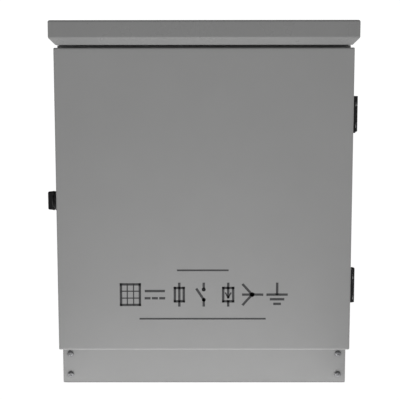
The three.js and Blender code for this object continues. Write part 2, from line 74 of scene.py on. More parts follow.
# ---------------------------------------------------------------- materials
class Nodes:
    def __init__(self, name):
        self.mat = bpy.data.materials.new(name)
        self.mat.use_nodes = True
        self.t = self.mat.node_tree
        self.bsdf = self.t.nodes["Principled BSDF"]
        self.co = self.t.nodes.new("ShaderNodeTexCoord")

    def noise(self, scale, detail=2.0, rough=0.5, stretch=None):
        n = self.t.nodes.new("ShaderNodeTexNoise")
        n.inputs["Scale"].default_value = scale
        n.inputs["Detail"].default_value = detail
        n.inputs["Roughness"].default_value = rough
        src = self.co.outputs["Object"]
        if stretch:
            mp = self.t.nodes.new("ShaderNodeMapping")
            mp.inputs["Scale"].default_value = stretch
            self.t.links.new(src, mp.inputs["Vector"])
            src = mp.outputs["Vector"]
        self.t.links.new(src, n.inputs["Vector"])
        return n.outputs["Fac"]

    def ramp(self, fac, stops):
        r = self.t.nodes.new("ShaderNodeValToRGB")
        e = r.color_ramp.elements
        while len(e) < len(stops):
            e.new(0.5)
        for el, (p, c) in zip(e, stops):
            el.position = p
            el.color = (*c, 1) if len(c) == 3 else c
        self.t.links.new(fac, r.inputs["Fac"])
        return r.outputs["Color"]

    def link(self, out, socket):
        self.t.links.new(out, self.bsdf.inputs[socket])

    def rough(self, fac, lo, hi):
        mr = self.t.nodes.new("ShaderNodeMapRange")
        mr.inputs["From Min"].default_value = 0.3
        mr.inputs["From Max"].default_value = 0.7
        mr.inputs["To Min"].default_value = lo
        mr.inputs["To Max"].default_value = hi
        self.t.links.new(fac, mr.inputs["Value"])
        self.link(mr.outputs["Result"], "Roughness")

    def bump(self, fac, strength, distance):
        b = self.t.nodes.new("ShaderNodeBump")
        b.inputs["Strength"].default_value = strength
        b.inputs["Distance"].default_value = distance
        self.t.links.new(fac, b.inputs["Height"])
        prev = getattr(self, "_bump", None)
        if prev:
            self.t.links.new(prev, b.inputs["Normal"])
        self._bump = b.outputs["Normal"]
        self.link(self._bump, "Normal")


def around(c, d):
    return tuple(max(0.0, x * (1 - d)) for x in c), tuple(min(1.0, x * (1 + d)) for x in c)


def make(name, color, rough=(0.4, 0.5), metal=0.0, vary=0.05, vscale=14, bumps=((900, 0.2, 0.0002),), stretch=None, spec=0.5):
    n = Nodes(name)
    lo, hi = around(color, vary)
    n.link(n.ramp(n.noise(vscale, 4, 0.6, stretch), [(0.3, lo), (0.7, hi)]), "Base Color")
    n.bsdf.inputs["Metallic"].default_value = metal
    n.bsdf.inputs["Specular IOR Level"].default_value = spec
    n.rough(n.noise(vscale * 3.1, 3, 0.5, stretch), *rough)
    for s, st, d in bumps:
        n.bump(n.noise(s, 2, 0.5, stretch), st, d)
    return n.mat


COAT = make("powder_coat", (0.261, 0.261, 0.260), (0.36, 0.46), vary=0.018, vscale=9, bumps=((650, 0.10, 0.0002), (2100, 0.12, 0.00008)), spec=0.45)
# the hood: the same powder coat as the door, made darker. This is painted shade for the dimmer light on the hood's
# face.
COAT_HOOD_PAINTED_SHADE = make("powder_coat_hood_painted_shade", (0.220, 0.220, 0.219), (0.25, 0.33), vary=0.018, vscale=9, bumps=((650, 0.10, 0.0002), (2100, 0.12, 0.00008)), spec=0.45)
COAT_IN = make("powder_coat_inside", (0.268, 0.268, 0.264), (0.42, 0.52), vary=0.02, vscale=9, bumps=((650, 0.14, 0.0002),), spec=0.4)
ZINC = make("zinc_plate", (0.47, 0.48, 0.49), (0.40, 0.47), 0.90, 0.03, 55, ((500, 0.04, 0.00006),))
SCREW = make("screw_steel", (0.20, 0.20, 0.205), (0.22, 0.34), 1.0, 0.12, 260, ((1500, 0.06, 0.00005),))
PIN = make("pin_steel", (0.035, 0.035, 0.037), (0.38, 0.50), 1.0, 0.15, 200, ((1500, 0.05, 0.00005),))
BLACK = make("black_casting", (0.0055, 0.0055, 0.006), (0.36, 0.48), 0.0, 0.25, 60, ((1400, 0.22, 0.0001),), spec=0.14)
NYLON = make("nylon_dark", (0.020, 0.020, 0.022), (0.46, 0.60), 0.0, 0.2, 50, ((1900, 0.20, 0.00008),))
FOAM = make("foam_seal", (0.022, 0.022, 0.022), (0.85, 0.95), 0.0, 0.4, 700, ((1300, 0.7, 0.0004),), spec=0.2)
CREAM = make("thermoplastic_pale", (0.60, 0.60, 0.56), (0.42, 0.52), 0.0, 0.02, 30, ((1700, 0.14, 0.00006),))
COPPER = make("copper_bar", (0.52, 0.235, 0.125), (0.24, 0.38), 1.0, 0.10, 22, ((900, 0.06, 0.00006),), stretch=(1, 8, 8))
BRASS = make("brass_bar", (0.50, 0.355, 0.13), (0.24, 0.38), 1.0, 0.08, 22, ((900, 0.06, 0.00006),), stretch=(1, 8, 8))
RESIN = make("resin_red", (0.34, 0.03, 0.022), (0.18, 0.28), 0.0, 0.08, 40, ((700, 0.08, 0.0001),))
THERMOSET = make("thermoset_dark", (0.038, 0.040, 0.046), (0.44, 0.56), 0.0, 0.10, 30, ((1600, 0.16, 0.00007),))
RED = make("thermoplastic_red", (0.44, 0.030, 0.022), (0.38, 0.48), 0.0, 0.04, 30, ((1700, 0.12, 0.00006),))
GREEN_FLAG = make("flag_green", (0.05, 0.34, 0.08), (0.30, 0.40), 0.0, 0.05, 60, ((1500, 0.08, 0.00005),))
PVC_RED = make("pvc_red", (0.42, 0.016, 0.016), (0.36, 0.46), 0.0, 0.05, 60, ((1500, 0.10, 0.00005),))
PVC_BLACK = make("pvc_black", (0.018, 0.018, 0.020), (0.36, 0.46), 0.0, 0.15, 60, ((1500, 0.10, 0.00005),))
PVC_GREEN = make("pvc_green", (0.10, 0.32, 0.045), (0.36, 0.46), 0.0, 0.05, 60, ((1500, 0.10, 0.00005),))
INK = make("screen_ink", (0.020, 0.020, 0.022), (0.42, 0.52), 0.0, 0.12, 60, ((900, 0.08, 0.00008),))
DARK = make("recess_dark", (0.010, 0.010, 0.011), (0.6, 0.75), 0.0, 0.2, 80, ((1200, 0.15, 0.0001),), spec=0.2)


# ---------------------------------------------------------------- mesh helpers (millimetres in, metres out)
def obj(name, mesh, mat, body, replaces=(), angle=32, weighted=True):
    o = bpy.data.objects.new(name, mesh)
    bpy.context.scene.collection.objects.link(o)
    mesh.materials.clear()
    mesh.materials.append(mat)
    mesh.polygons.foreach_set("use_smooth", [True] * len(mesh.polygons))
    mesh.polygons.foreach_set("material_index", [0] * len(mesh.polygons))
    mesh.set_sharp_from_angle(angle=math.radians(angle))
    if weighted:
        w = o.modifiers.new("weighted", "WEIGHTED_NORMAL")
        w.keep_sharp = True
        w.weight = 80
    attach(o, body)
    if replaces:
        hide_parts(*replaces)
    return o


def mesh_of(bm, name):
    me = bpy.data.meshes.new(name)
    bm.to_mesh(me)
    bm.free()
    return me


def bevel(bm, width, segs=2, angle=28):
    edges = [e for e in bm.edges if len(e.link_faces) == 2 and e.calc_face_angle(0) > math.radians(angle)]
    if edges and width > 0:
        bmesh.ops.bevel(bm, geom=edges, offset=width * MM, segments=segs, profile=0.5, affect="EDGES", clamp_overlap=True)


def refine(node, mat, body, width=0.4, segs=2, name=None, angle=28, cut=None):
    """The CAD node's own shape, with its flat faces made whole and its edges rounded."""
    bm = bmesh.new()
    bm.from_mesh(NODES[node].data)
    bmesh.ops.remove_doubles(bm, verts=bm.verts, dist=2e-6)
    bmesh.ops.dissolve_limit(bm, angle_limit=math.radians(0.6), verts=bm.verts, edges=bm.edges)
    bmesh.ops.recalc_face_normals(bm, faces=bm.faces)
    bevel(bm, width, segs, angle)
    return obj(name or node + "_finish", mesh_of(bm, node + "_finish"), mat, body, (node,))


def loft(rings, closed=False):
    """Closed solid through rings of equal length; the first and last are capped unless the loft closes on itself."""
    bm = bmesh.new()
    rows = [[bm.verts.new(Vector(p) * MM) for p in r] for r in rings]
    n = len(rows[0])
    pairs = list(zip(rows, rows[1:])) + ([(rows[-1], rows[0])] if closed else [])
    for a, b in pairs:
        for i in range(n):
            bm.faces.new((a[i], a[(i + 1) % n], b[(i + 1) % n], b[i]))
    if not closed:
        bm.faces.new(list(reversed(rows[0])))
        bm.faces.new(rows[-1])
    bmesh.ops.recalc_face_normals(bm, faces=bm.faces)
    return bm


def rounded(a0, a1, b0, b1, r, seg=4):
    """Rectangle outline with rounded corners, in two coordinates."""
    r = max(0.05, min(r, (a1 - a0) / 2 - 0.01, (b1 - b0) / 2 - 0.01))
    pts = []
    for ca, cb, t0 in ((a1 - r, b1 - r, 0), (a0 + r, b1 - r, 90), (a0 + r, b0 + r, 180), (a1 - r, b0 + r, 270)):
        for i in range(seg + 1):
            t = math.radians(t0 + 90 * i / seg)
            pts.append((ca + r * math.cos(t), cb + r * math.sin(t)))
    return pts


def turned(profile, axis="z", at=(0, 0, 0), seg=40):
    """Solid of revolution: profile is (radius, height) from the bottom up, on the axis at both ends."""
    bm = bmesh.new()
    rows = []
    for r, h in profile:
        if r < 1e-6:
            rows.append([bm.verts.new((0, 0, h * MM))])
        else:
            rows.append([bm.verts.new((r * MM * math.cos(2 * math.pi * i / seg), r * MM * math.sin(2 * math.pi * i / seg), h * MM)) for i in range(seg)])
    for a, b in zip(rows, rows[1:]):
        for i in range(seg):
            j = (i + 1) % seg
            if len(a) == 1:
                bm.faces.new((a[0], b[j], b[i]))
            elif len(b) == 1:
                bm.faces.new((a[i], a[j], b[0]))
            else:
                bm.faces.new((a[i], a[j], b[j], b[i]))
    turn = {"z": Matrix.Identity(3), "y": Matrix.Rotation(math.pi / 2, 3, "X"), "-y": Matrix.Rotation(math.pi / 2, 3, "X"), "x": Matrix.Rotation(math.pi / 2, 3, "Y")}[axis]
    bmesh.ops.transform(bm, matrix=Matrix.Translation(Vector(at) * MM) @ turn.to_4x4(), verts=bm.verts)
    bmesh.ops.recalc_face_normals(bm, faces=bm.faces)
    return bm


def block(x0, x1, y0, y1, z0, z1, width=0.5, segs=2):
    bm = bmesh.new()
    bmesh.ops.create_cube(bm, size=1)
    for v in bm.verts:
        v.co = Vector(((x0, x1)[v.co.x > 0], (y0, y1)[v.co.y > 0], (z0, z1)[v.co.z > 0])) * MM
    bevel(bm, width, segs)
    return bm


def merge(*bms):
    out = bmesh.new()
    for b in bms:
        me = mesh_of(b, "part")
        out.from_mesh(me)
        bpy.data.meshes.remove(me)
    return out


def piece(name, bm, mat, body, replaces=(), angle=32):
    return obj(name, mesh_of(bm, name), mat, body, replaces, angle)


def carve(o, bm):
    """Cuts a closed mesh out of a piece, and applies the cut."""
    c = bpy.data.objects.new("cutter", mesh_of(bm, "cutter"))
    bpy.context.scene.collection.objects.link(c)
    b = o.modifiers.new("cut", "BOOLEAN")
    b.operation, b.solver, b.object = "DIFFERENCE", "EXACT", c
    while o.modifiers[0] != b:
        o.modifiers.move(len(o.modifiers) - 1, 0) if o.modifiers[-1] == b else None
        break
    others = [(x, x.show_viewport) for x in o.modifiers if x != b]
    for x, _ in others:
        x.show_viewport = False
    bpy.context.view_layer.update()
    me = bpy.data.meshes.new_from_object(o.evaluated_get(bpy.context.evaluated_depsgraph_get()))
    for x, s in others:
        x.show_viewport = s
    o.modifiers.remove(b)
    o.data = me
    me.polygons.foreach_set("use_smooth", [True] * len(me.polygons))
    me.set_sharp_from_angle(angle=math.radians(32))
    bpy.data.objects.remove(c)
    return o


# ---------------------------------------------------------------- sheet-metal shell
def pan_rings(profile, x, z0, z1, corner=2.2):
    """Rings of a pan that opens to the rear: profile is (inset, y)."""
    return [[(a, y, b) for a, b in rounded(-x + d, x - d, z0 + d, z1 - d, corner - d * 0.3)] for d, y in profile]


def arc(cx, cy_, r, a0, a1, n=5):
    return [(cx + r * math.cos(math.radians(a0 + (a1 - a0) * i / n)), cy_ + r * math.sin(math.radians(a0 + (a1 - a0) * i / n))) for i in range(n + 1)]


DX, DZ0, DZ1, DF, DR, T = 279.0, 75.5, 650.0, -105.0, -71.0, 1.5
R = 3.2
profile = [(R + 6, DF)] + [(R - R * math.sin(t), DF + R - R * math.cos(t)) for t in np.linspace(0, math.pi / 2, 6)]
profile += [(R2 - R2 * math.cos(t), DR - R2 + R2 * math.sin(t)) for R2 in (2.4,) for t in np.linspace(0, math.pi / 2, 5)]
profile += [(7.4, DR), (7.5, DR - 0.1), (7.5, DR - T + 0.1), (7.4, DR - T), (2.5, DR - T), (1.8, DR - T - 0.4), (T, DR - T - 1.0)]
profile += [(T, DF + T + 1.6), (1.9, DF + T + 0.6), (T + 1.6, DF + T), (9, DF + T)]
door = piece("door_panel_finish", loft(pan_rings(profile, DX, DZ0, DZ1)), COAT, "door", ("door_panel",))
carve(door, turned([(0, -290), (7.8, -290), (7.8, -270), (0, -270)], "x", (0, -88, 363), 32))

# the hood: rings of a rectangle set in at the sides, the front and the back by (side, front, back) at height z
HX, HF, HB = 286.7, -117.0, 96.8
RB = 5.0  # radius of the bend
hp = [(9, 9, 9, 700)] + [(3.6 - 3.6 * math.sin(t),) * 3 + (696.4 + 3.6 * math.cos(t),) for t in np.linspace(0, math.pi / 2, 6)]
for t in np.linspace(0, math.pi / 4, 7):
    d = RB - RB * math.cos(t)
    hp.append((d * 11.6 / 13, d, 0, 668 + RB * math.tan(math.pi / 8) - RB * math.sin(t)))
hp += [(11.1, 12.45, 0, 655.55), (11.35, 12.75, 0.1, 655.3), (11.8, 13.2, 0.3, 655.1), (12.5, 13.9, 0.8, 655.0)]
hp += [(50.2, 62.5, 34.3, 655.0), (50.7, 63, 34.8, 655.2), (50.7, 63, 34.8, 656.3), (50.2, 62.5, 34.3, 656.5), (12.4, 13.8, 1.6, 656.5)]
hp += [(1.6, 1.6, 1.5, 668.4), (1.5, 1.5, 1.5, 671.2), (1.5, 1.5, 1.5, 696.4), (2.6, 2.6, 2.6, 697.9), (9, 9, 9, 698.5)]
rings = [[(x, y, z) for x, y in rounded(-HX + a, HX - a, HF + b, HB - c, 1.6)] for a, b, c, z in hp]
# the hood takes the darker copy of the powder coat, which is painted shade
piece("rain_hood_finish", loft(rings), COAT_HOOD_PAINTED_SHADE, "cabinet", ("rain_hood",), angle=24)

refine("skirt_cover", COAT, "cabinet", 0.7, 3)
refine("side_panel_left", COAT, "cabinet", 0.5, 2)
refine("side_panel_right", COAT, "cabinet", 0.5, 2)
refine("back_panel", COAT, "cabinet", 0.4, 2)
refine("top_panel", COAT_IN, "cabinet", 0.4, 2)
refine("door_frame", COAT, "cabinet", 0.5, 2)
refine("gland_plate", COAT_IN, "cabinet", 0.3, 2)
for s in ("upper", "lower"):
    refine("wall_rail_" + s, ZINC, "cabinet", 0.5, 2)

# the gasket: a soft crowned ring
gx, gz0, gz1, gw = 239.25, 104.75, 623.25, 6.1
gp = [(gw, -103.1), (gw, -97.5), (gw * 0.86, -95.2), (gw * 0.55, -93.9), (0, -93.4), (-gw * 0.55, -93.9), (-gw * 0.86, -95.2), (-gw, -97.5), (-gw, -103.1)]
piece(
    "door_gasket_finish",
    loft([[(a, y, b) for a, b in rounded(-gx - o_, gx + o_, gz0 - o_, gz1 + o_, 9 + o_, 6)] for o_, y in gp], closed=True),
    FOAM, "door", ("door_gasket",), angle=60,
)


# ---------------------------------------------------------------- screws
def pan_screw(name, x, z, y, turn, node):
    prof = [(0, -10), (2.2, -10), (2.9, -9.2)]
    h = -9.2
    while h < -1.2:
        prof += [(2.9, h + 0.1), (2.45, h + 0.5), (2.9, h + 0.9)]
        h += 1.0
    prof += [(2.9, 0), (5.8, 0), (6, 0.25), (6, 1.3), (5.75, 2.1), (5.2, 2.8), (4.2, 3.4), (2.8, 3.85), (0, 4)]
    bm = turned(prof, "y", (0, 0, 0), 40)
    o = obj(name, mesh_of(bm, name), SCREW, "cabinet", ())
    for a in (0, 90):
        b = block(-3.1, 3.1, -5, -1.9, -0.62, 0.62, 0.2, 1)
        bmesh.ops.rotate(b, verts=b.verts, cent=(0, 0, 0), matrix=Matrix.Rotation(math.radians(turn + a), 3, "Y"))
        carve(o, b)
    o.data.transform(Matrix.Translation(Vector((x, y, z)) * MM))
    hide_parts(node)


for side, x in (("left", -261.3), ("right", 261.3)):
    for lvl, z in (("upper", 58.2), ("lower", 16.9)):
        pan_screw(f"skirt_screw_{lvl}_{side}_finish", x, z, -69.8, {"left": 25, "right": 50}[side] + z, f"skirt_screw_{lvl}_{side}")

# ---------------------------------------------------------------- hinges
for lvl, zc in (("upper", 525.5), ("lower", 196.0)):
    refine(f"hinge_{lvl}_body_leaf", BLACK, "cabinet", 0.7, 3, angle=34)
    door_leaf = refine(f"hinge_{lvl}_door_leaf", BLACK, "door", 0.7, 3, angle=34)
    if lvl == "lower":
        carve(door_leaf, block(270, 290, -112, -77.5, zc - 40, zc - 29, 0, 1))
    refine(f"hinge_{lvl}_pin", PIN, "cabinet", 0.4, 2)
    s = -1 if lvl == "upper" else 1  # which way the rounded end of the barrel points
    cap = turned([(0, 28), (5.55, 28), (5.55, 31.6), (5.2, 32.6), (4.3, 33.4), (2.8, 33.95), (0, 34)], "z", (0, 0, 0), 36)
    if s < 0:
        bmesh.ops.rotate(cap, verts=cap.verts, cent=(0, 0, 0), matrix=Matrix.Rotation(math.pi, 3, "X"))
    bmesh.ops.translate(cap, verts=cap.verts, vec=Vector((285.3, -70.25, zc)) * MM)
    piece(f"hinge_{lvl}_barrel_end", cap, BLACK, "cabinet", ())
    for k, dz in enumerate((-20, 20)):
        for leaf, y, body in (("body", -70.25 + 19.5, "cabinet"), ("door", -70.25 - 19.5, "door")):
            bm = turned([(0, 283.1), (4.6, 283.1), (4.6, 284.4), (4.2, 284.9), (2.6, 285.0), (2.6, 284.0), (0, 284.0)], "x", (0, y, zc + dz), 32)
            piece(f"hinge_{lvl}_{leaf}_screw_{k + 1}", bm, SCREW, body, ())

# ---------------------------------------------------------------- lock
LY, LZ = -88.0, 363.0


def obround(h, w, x, n=10):
    r = w / 2
    s = h / 2 - r
    pts = []
    for t0, c in ((0, s), (180, -s)):
        for i in range(n + 1):
            t = math.radians(t0 + 180 * i / n)
            pts.append((x, LY + r * math.cos(t), LZ + c + r * math.sin(t)))
    return pts


hb = [obround(*v) for v in ((36, 26, -279.35), (38, 28, -279.5), (38, 28, -280.3), (37.2, 27.2, -281.2), (35.4, 26, -282.2), (34, 25.2, -283.1), (33.2, 24.8, -283.45), (31, 22, -283.5))]
housing = piece("lock_housing_finish", merge(loft(hb), turned([(0, -279.3), (7.5, -279.3), (7.5, -264.5), (7.0, -264), (0, -264)], "x", (0, LY, LZ), 36)), BLACK, "door", ("lock_housing",))
carve(housing, turned([(0, -290), (4.4, -290), (4.4, -260), (0, -260)], "x", (0, LY, LZ), 28))
refine("lock_nut", ZINC, "door", 0.5, 2)
disc = turned([(0, -287.2), (11.8, -287.2), (13.2, -286.2), (13.6, -285), (13.6, -284.2), (13.2, -283.8), (0, -283.8)], "x", (0, LY, LZ), 48)
grip = [[(x, LY + a, LZ + b) for a, b in rounded(-w, w, -h, h, c, 5)] for x, w, h, c in (
    (-283.9, 7.6, 18.2, 3.6), (-285.8, 7.4, 18.0, 3.4), (-287.5, 5.6, 17.8, 3.2), (-289.5, 4.7, 17.6, 3), (-292.5, 4.4, 17.4, 2.8), (-294.3, 4.3, 17.2, 2.6), (-295.4, 3.7, 16.5, 2.4), (-296, 2.4, 15.2, 1.8))]
shaft = turned([(0, -284.5), (4, -284.5), (4, -259), (3.5, -258.5), (0, -258.5)], "x", (0, LY, LZ), 28)
piece("lock_knob_finish", merge(disc, loft(grip), shaft), BLACK, "lock", ("lock_knob",))
refine("lock_tongue", ZINC, "lock", 0.3, 2)
refine("lock_striker", ZINC, "cabinet", 0.3, 2)
bm = turned([(0, -260.2), (6.4, -260.2), (6.4, -256), (5.6, -255.5), (0, -255.5)], "x", (0, LY, LZ), 6)
piece("lock_tongue_nut", bm, ZINC, "lock", ())


# ---------------------------------------------------------------- glands
def gland(node, x, y, r, af, down, bore, seg=48):
    z = 76.0
    rd = af * 0.46
    prof = [(0, -12), (r, -12)]
    h = -12
    bm = bmesh.new()
    parts = []
    rc = af / 2 / math.cos(math.pi / 6)
    collar = turned([(0, -10), (rc - 1.2, -10), (rc, -9), (rc, -1.4), (rc - 1.0, -0.35), (0, -0.35)], "z", (x, y, z), 6)
    parts.append(collar)
    neck = [(0, -4), (r - 0.4, -4)]
    k = -0.3
    while k < 11:
        neck += [(r - 0.1, k + 0.4), (r - 0.9, k + 0.9), (r - 0.1, k + 1.4)]
        k += 1.5
    neck += [(r - 1.0, 12), (0, 12)]
    parts.append(turned(neck, "z", (x, y, z), seg))
    # dome nut with gripping flutes
    rows = []
    for rr, hh, fl in ((rd, -9.5, 0), (rd, -10.4, 1), (rd, -down + 8, 1), (rd * 0.97, -down + 5, 0.7), (rd * 0.86, -down + 1.8, 0.2), (rd * 0.74, -down, 0)):
        ring = []
        for i in range(96):
            t = 2 * math.pi * i / 96
            q = rr - fl * (rd * 0.05) * (1 if (i % 8) in (0, 1) else 0)
            ring.append((x + q * math.cos(t), y + q * math.sin(t), z + hh))
        rows.append(ring)
    parts.append(loft(rows))
    bm.free()
    o = piece(node + "_finish", merge(*parts), NYLON, "cabinet", (node,), angle=30)
    if bore:
        carve(o, turned([(0, -down - 3), (bore, -down - 3), (bore, 16), (0, 16)], "z", (x, y, z), seg))
    return o


for i, x in enumerate((-195, -65, 65, 195)):
    gland(f"string_gland_{i + 1}", x, -18, 20, 50, 34, 0)
    # the sealing insert, stoppered in four places
    z = 42.0
    bm = turned([(0, z + 0.2), (14.2, z + 0.2), (14.6, z - 0.2), (14.2, z - 0.6), (0, z - 0.6)], "z", (x, -18, 0), 40)
    piece(f"string_gland_{i + 1}_insert", bm, FOAM, "cabinet", ())
    studs = [turned([(0, z - 0.5), (3.1, z - 0.5), (3.1, z - 2.4), (2.6, z - 3.0), (0, z - 3.1)], "z", (x + a, -18 + b, 0), 20) for a in (-5.6, 5.6) for b in (-5.6, 5.6)]
    piece(f"string_gland_{i + 1}_stoppers", merge(*studs), NYLON, "cabinet", ())
gland("output_gland_positive", -60, 52, 20, 50, 34, 13)
gland("output_gland_negative", 60, 52, 20, 50, 34, 13)
gland("earth_gland", 150, 52, 8, 20, 24, 4.4, 32)
refine("vent_plug", NYLON, "cabinet", 0.5, 2)

# ---------------------------------------------------------------- component plate and rails
plate = refine("component_plate", ZINC, "cabinet", 0.3, 2)
for node, x0, x1, zc in (("din_rail_fuses", -224, 90, 330), ("din_rail_arrester", -224, -130, 520)):
    rail = refine(node, ZINC, "cabinet", 0.25, 2)
    x = x0 + 12
    cuts = []
    while x + 18 < x1:
        cuts.append(block(x, x + 15, 70, 84, zc - 2.6, zc + 2.6, 2.0, 3))
        x += 25
    carve(rail, merge(*cuts))
for i, (x, z) in enumerate(((-215, 600), (215, 600), (-215, 124), (215, 124), (0, 600), (0, 124))):
    bm = turned([(0, -79.9), (7, -79.9), (7, -78.9), (5, -78.6), (5, -75.2), (4.3, -74.6), (0, -74.6)], "y", (x, 0, z), 30)
    piece(f"plate_screw_{i + 1}", bm, ZINC, "cabinet", ())

# ---------------------------------------------------------------- fuse blocks
for i in range(4):
    x0 = -219 + 72 * i
    body = refine(f"fuse_base_{i + 1}", CREAM, "cabinet", 0.6, 2)
    wells, heads = [], []
    for p in range(4):
        xc = x0 + 8.9 + 17.85 * p
        for s in (1, -1):
            # clamp openings on the front of the two shoulders
            wells.append(block(xc - 3.6, xc + 3.6, 33, 47, 330 + s * 35 - 2.6, 330 + s * 35 + 2.6, 0.8, 2))
            heads.append(block(xc - 2.9, xc + 2.9, 43, 46.8, 330 + s * 35 - 2.0, 330 + s * 35 + 2.0, 0.5, 2))
    # grooves between the poles
    for p in range(1, 4):
        xg = x0 - 0.05 + 17.85 * p
        for s in (1, -1):
            wells.append(block(xg - 0.35, xg + 0.35, 20, 39.2, 330 + s * 35 - 8, 330 + s * 35 + 8, 0, 1))
    carve(body, merge(*wells))
    piece(f"fuse_base_{i + 1}_clamps", merge(*heads), ZINC, "cabinet", ())
    car = refine(f"fuse_carrier_{i + 1}", CREAM, f"carrier_{i + 1}", 0.6, 2)
    slots, wins, ribs = [], [], []
    for p in range(1, 4):
        xg = x0 + 1.7 + 17 * p
        slots.append(block(xg - 0.35, xg + 0.35, 0, 15.4, 310, 358, 0, 1))
    for p in range(4):
        xc = x0 + 1.7 + 8.5 + 17 * p
        slots.append(block(xc - 2.6, xc + 2.6, 5, 12.6, 333, 339.5, 0.6, 2))
        wins.append(block(xc - 2.2, xc + 2.2, 10.4, 12.4, 333.4, 339.1, 0.5, 2))
    carve(car, merge(*slots))
    piece(f"fuse_carrier_{i + 1}_windows", merge(*wins), RED, f"carrier_{i + 1}", ())


# ---------------------------------------------------------------- busbars
def hex_bolt(x, z, y, af=13, head=5.3):
    rc = af / 2 / math.cos(math.pi / 6)
    w = turned([(0, 0), (af * 0.62, 0), (af * 0.62, 1.2), (af * 0.6, 1.4), (0, 1.4)], "y", (x, y, z), 30)
    h = turned([(0, 1.3), (rc, 1.3), (rc, head - 0.7), (rc * 0.88, head), (0, head)], "y", (x, y, z), 6)
    return merge(w, h)


refine("positive_busbar", COPPER, "cabinet", 0.4, 2)
refine("negative_busbar", COPPER, "cabinet", 0.4, 2)
bolts = [hex_bolt(-219 + 72 * i + 8.9 + 17.85 * p, 378, 44.9, 7, 3.2) for i in range(4) for p in range(4)]
piece("positive_busbar_bolts", merge(*bolts), ZINC, "cabinet", ())
bolts = [hex_bolt(-206 + 24 * i, 228.5, 44.9, 7, 3.2) for i in range(16)] + [hex_bolt(-190, 239.5, 44.9, 10, 4.4), hex_bolt(150, 239.5, 44.9, 10, 4.4)]
piece("negative_busbar_bolts", merge(*bolts), ZINC, "cabinet", ())
for s in ("left", "right"):
    refine("busbar_insulator_" + s, RESIN, "cabinet", 0.9, 3, angle=20)
refine("earth_bar", BRASS, "cabinet", 0.5, 2)
ears = []
for k in range(12):
    ears.append(turned([(0, 0), (3.2, 0), (3.2, 1.8), (2.6, 2.3), (0, 2.3)], "y", (-99 + 18 * k, 59.9, 156), 24))
piece("earth_bar_screws", merge(*ears), ZINC, "cabinet", ())

# ---------------------------------------------------------------- breaker
brk = refine("breaker_body", THERMOSET, "cabinet", 1.2, 3)
cuts, heads = [], []
for xc in (102, 144.5, 187):
    for z in (425, 564):
        cuts.append(block(xc - 9.5, xc + 9.5, 18, 52, z - 10, z + 10, 1.5, 2))
        heads.append(hex_bolt(xc, z, 51.9, 13, 6))
for xs in (126, 163):
    cuts.append(block(xs - 0.6, xs + 0.6, -9, -6.6, 470, 519, 0, 1))
carve(brk, merge(*cuts))
piece("breaker_terminals", merge(*heads), ZINC, "cabinet", ())
refine("breaker_toggle", BLACK, "toggle", 0.9, 3, angle=34)
piece("breaker_rating_plate", block(100, 121, -8.5, -8.0, 474, 506, 0.2, 1), CREAM, "cabinet", ())

# ---------------------------------------------------------------- surge arrester
base = refine("arrester_base", CREAM, "cabinet", 0.6, 2)
cuts, heads = [], []
for k in range(3):
    xc = -215 + 9 + 18 * k
    for z in (520 + 34, 520 - 34):
        cuts.append(turned([(0, -26), (4, -26), (4, -36), (0, -36)], "y", (xc, 0, z), 24))
        heads.append(turned([(0, -30.5), (3.6, -30.5), (3.6, -34), (0, -34)], "y", (xc, 0, z), 24))
carve(base, merge(*cuts))
piece("arrester_terminal_screws", merge(*heads), ZINC, "cabinet", ())
for k in range(3):
    x0 = -215 + 18 * k
    mod = refine(f"arrester_module_{k + 1}", RED, f"module_{k + 1}", 0.6, 2)
    carve(mod, merge(block(x0 + 5.5, x0 + 12.5, 5, 11.4, 527, 532, 0.4, 1), *[block(x0 + 3, x0 + 15, 5, 10.7, 508 + 3 * q, 509.3 + 3 * q, 0.2, 1) for q in range(4)]))
    piece(f"arrester_module_{k + 1}_window", block(x0 + 5.8, x0 + 12.2, 10.2, 11.6, 527.3, 531.7, 0.3, 1), GREEN_FLAG, f"module_{k + 1}", ())


# ---------------------------------------------------------------- leads, along the CAD's routes
def centripetal(pts, per=14):
    P = [np.array(p, float) for p in pts]
    P = [2 * P[0] - P[1]] + P + [2 * P[-1] - P[-2]]
    out = []
    for a, b, c, d in zip(P, P[1:], P[2:], P[3:]):
        t0 = 0.0
        t1 = t0 + np.linalg.norm(b - a) ** 0.5
        t2 = t1 + np.linalg.norm(c - b) ** 0.5
        t3 = t2 + np.linalg.norm(d - c) ** 0.5
        for s in range(per):
            t = t1 + (t2 - t1) * s / per
            A1 = (t1 - t) / (t1 - t0) * a + (t - t0) / (t1 - t0) * b
            A2 = (t2 - t) / (t2 - t1) * b + (t - t1) / (t2 - t1) * c
            A3 = (t3 - t) / (t3 - t2) * c + (t - t2) / (t3 - t2) * d
            B1 = (t2 - t) / (t2 - t0) * A1 + (t - t0) / (t2 - t0) * A2
            B2 = (t3 - t) / (t3 - t1) * A2 + (t - t1) / (t3 - t1) * A3
            out.append((t2 - t) / (t2 - t1) * B1 + (t - t1) / (t2 - t1) * B2)
    out.append(P[-2])
    return out


def lead(name, pts, mat, node):
    line = centripetal(pts)
    rings = []
    tang = [line[min(i + 1, len(line) - 1)] - line[max(i - 1, 0)] for i in range(len(line))]
    n = None
    for p, t in zip(line, tang):
        t = Vector(t).normalized()
        n = (Vector((0, 1, 0)) if n is None else n)
        n = (n - t * n.dot(t)).normalized()
        b = t.cross(n)
        rings.append([tuple(Vector(p) + (n * math.cos(2 * math.pi * k / 16) + b * math.sin(2 * math.pi * k / 16)) * 2.35) for k in range(16)])
    return piece(name, loft(rings), mat, "cabinet", (node,), angle=50)


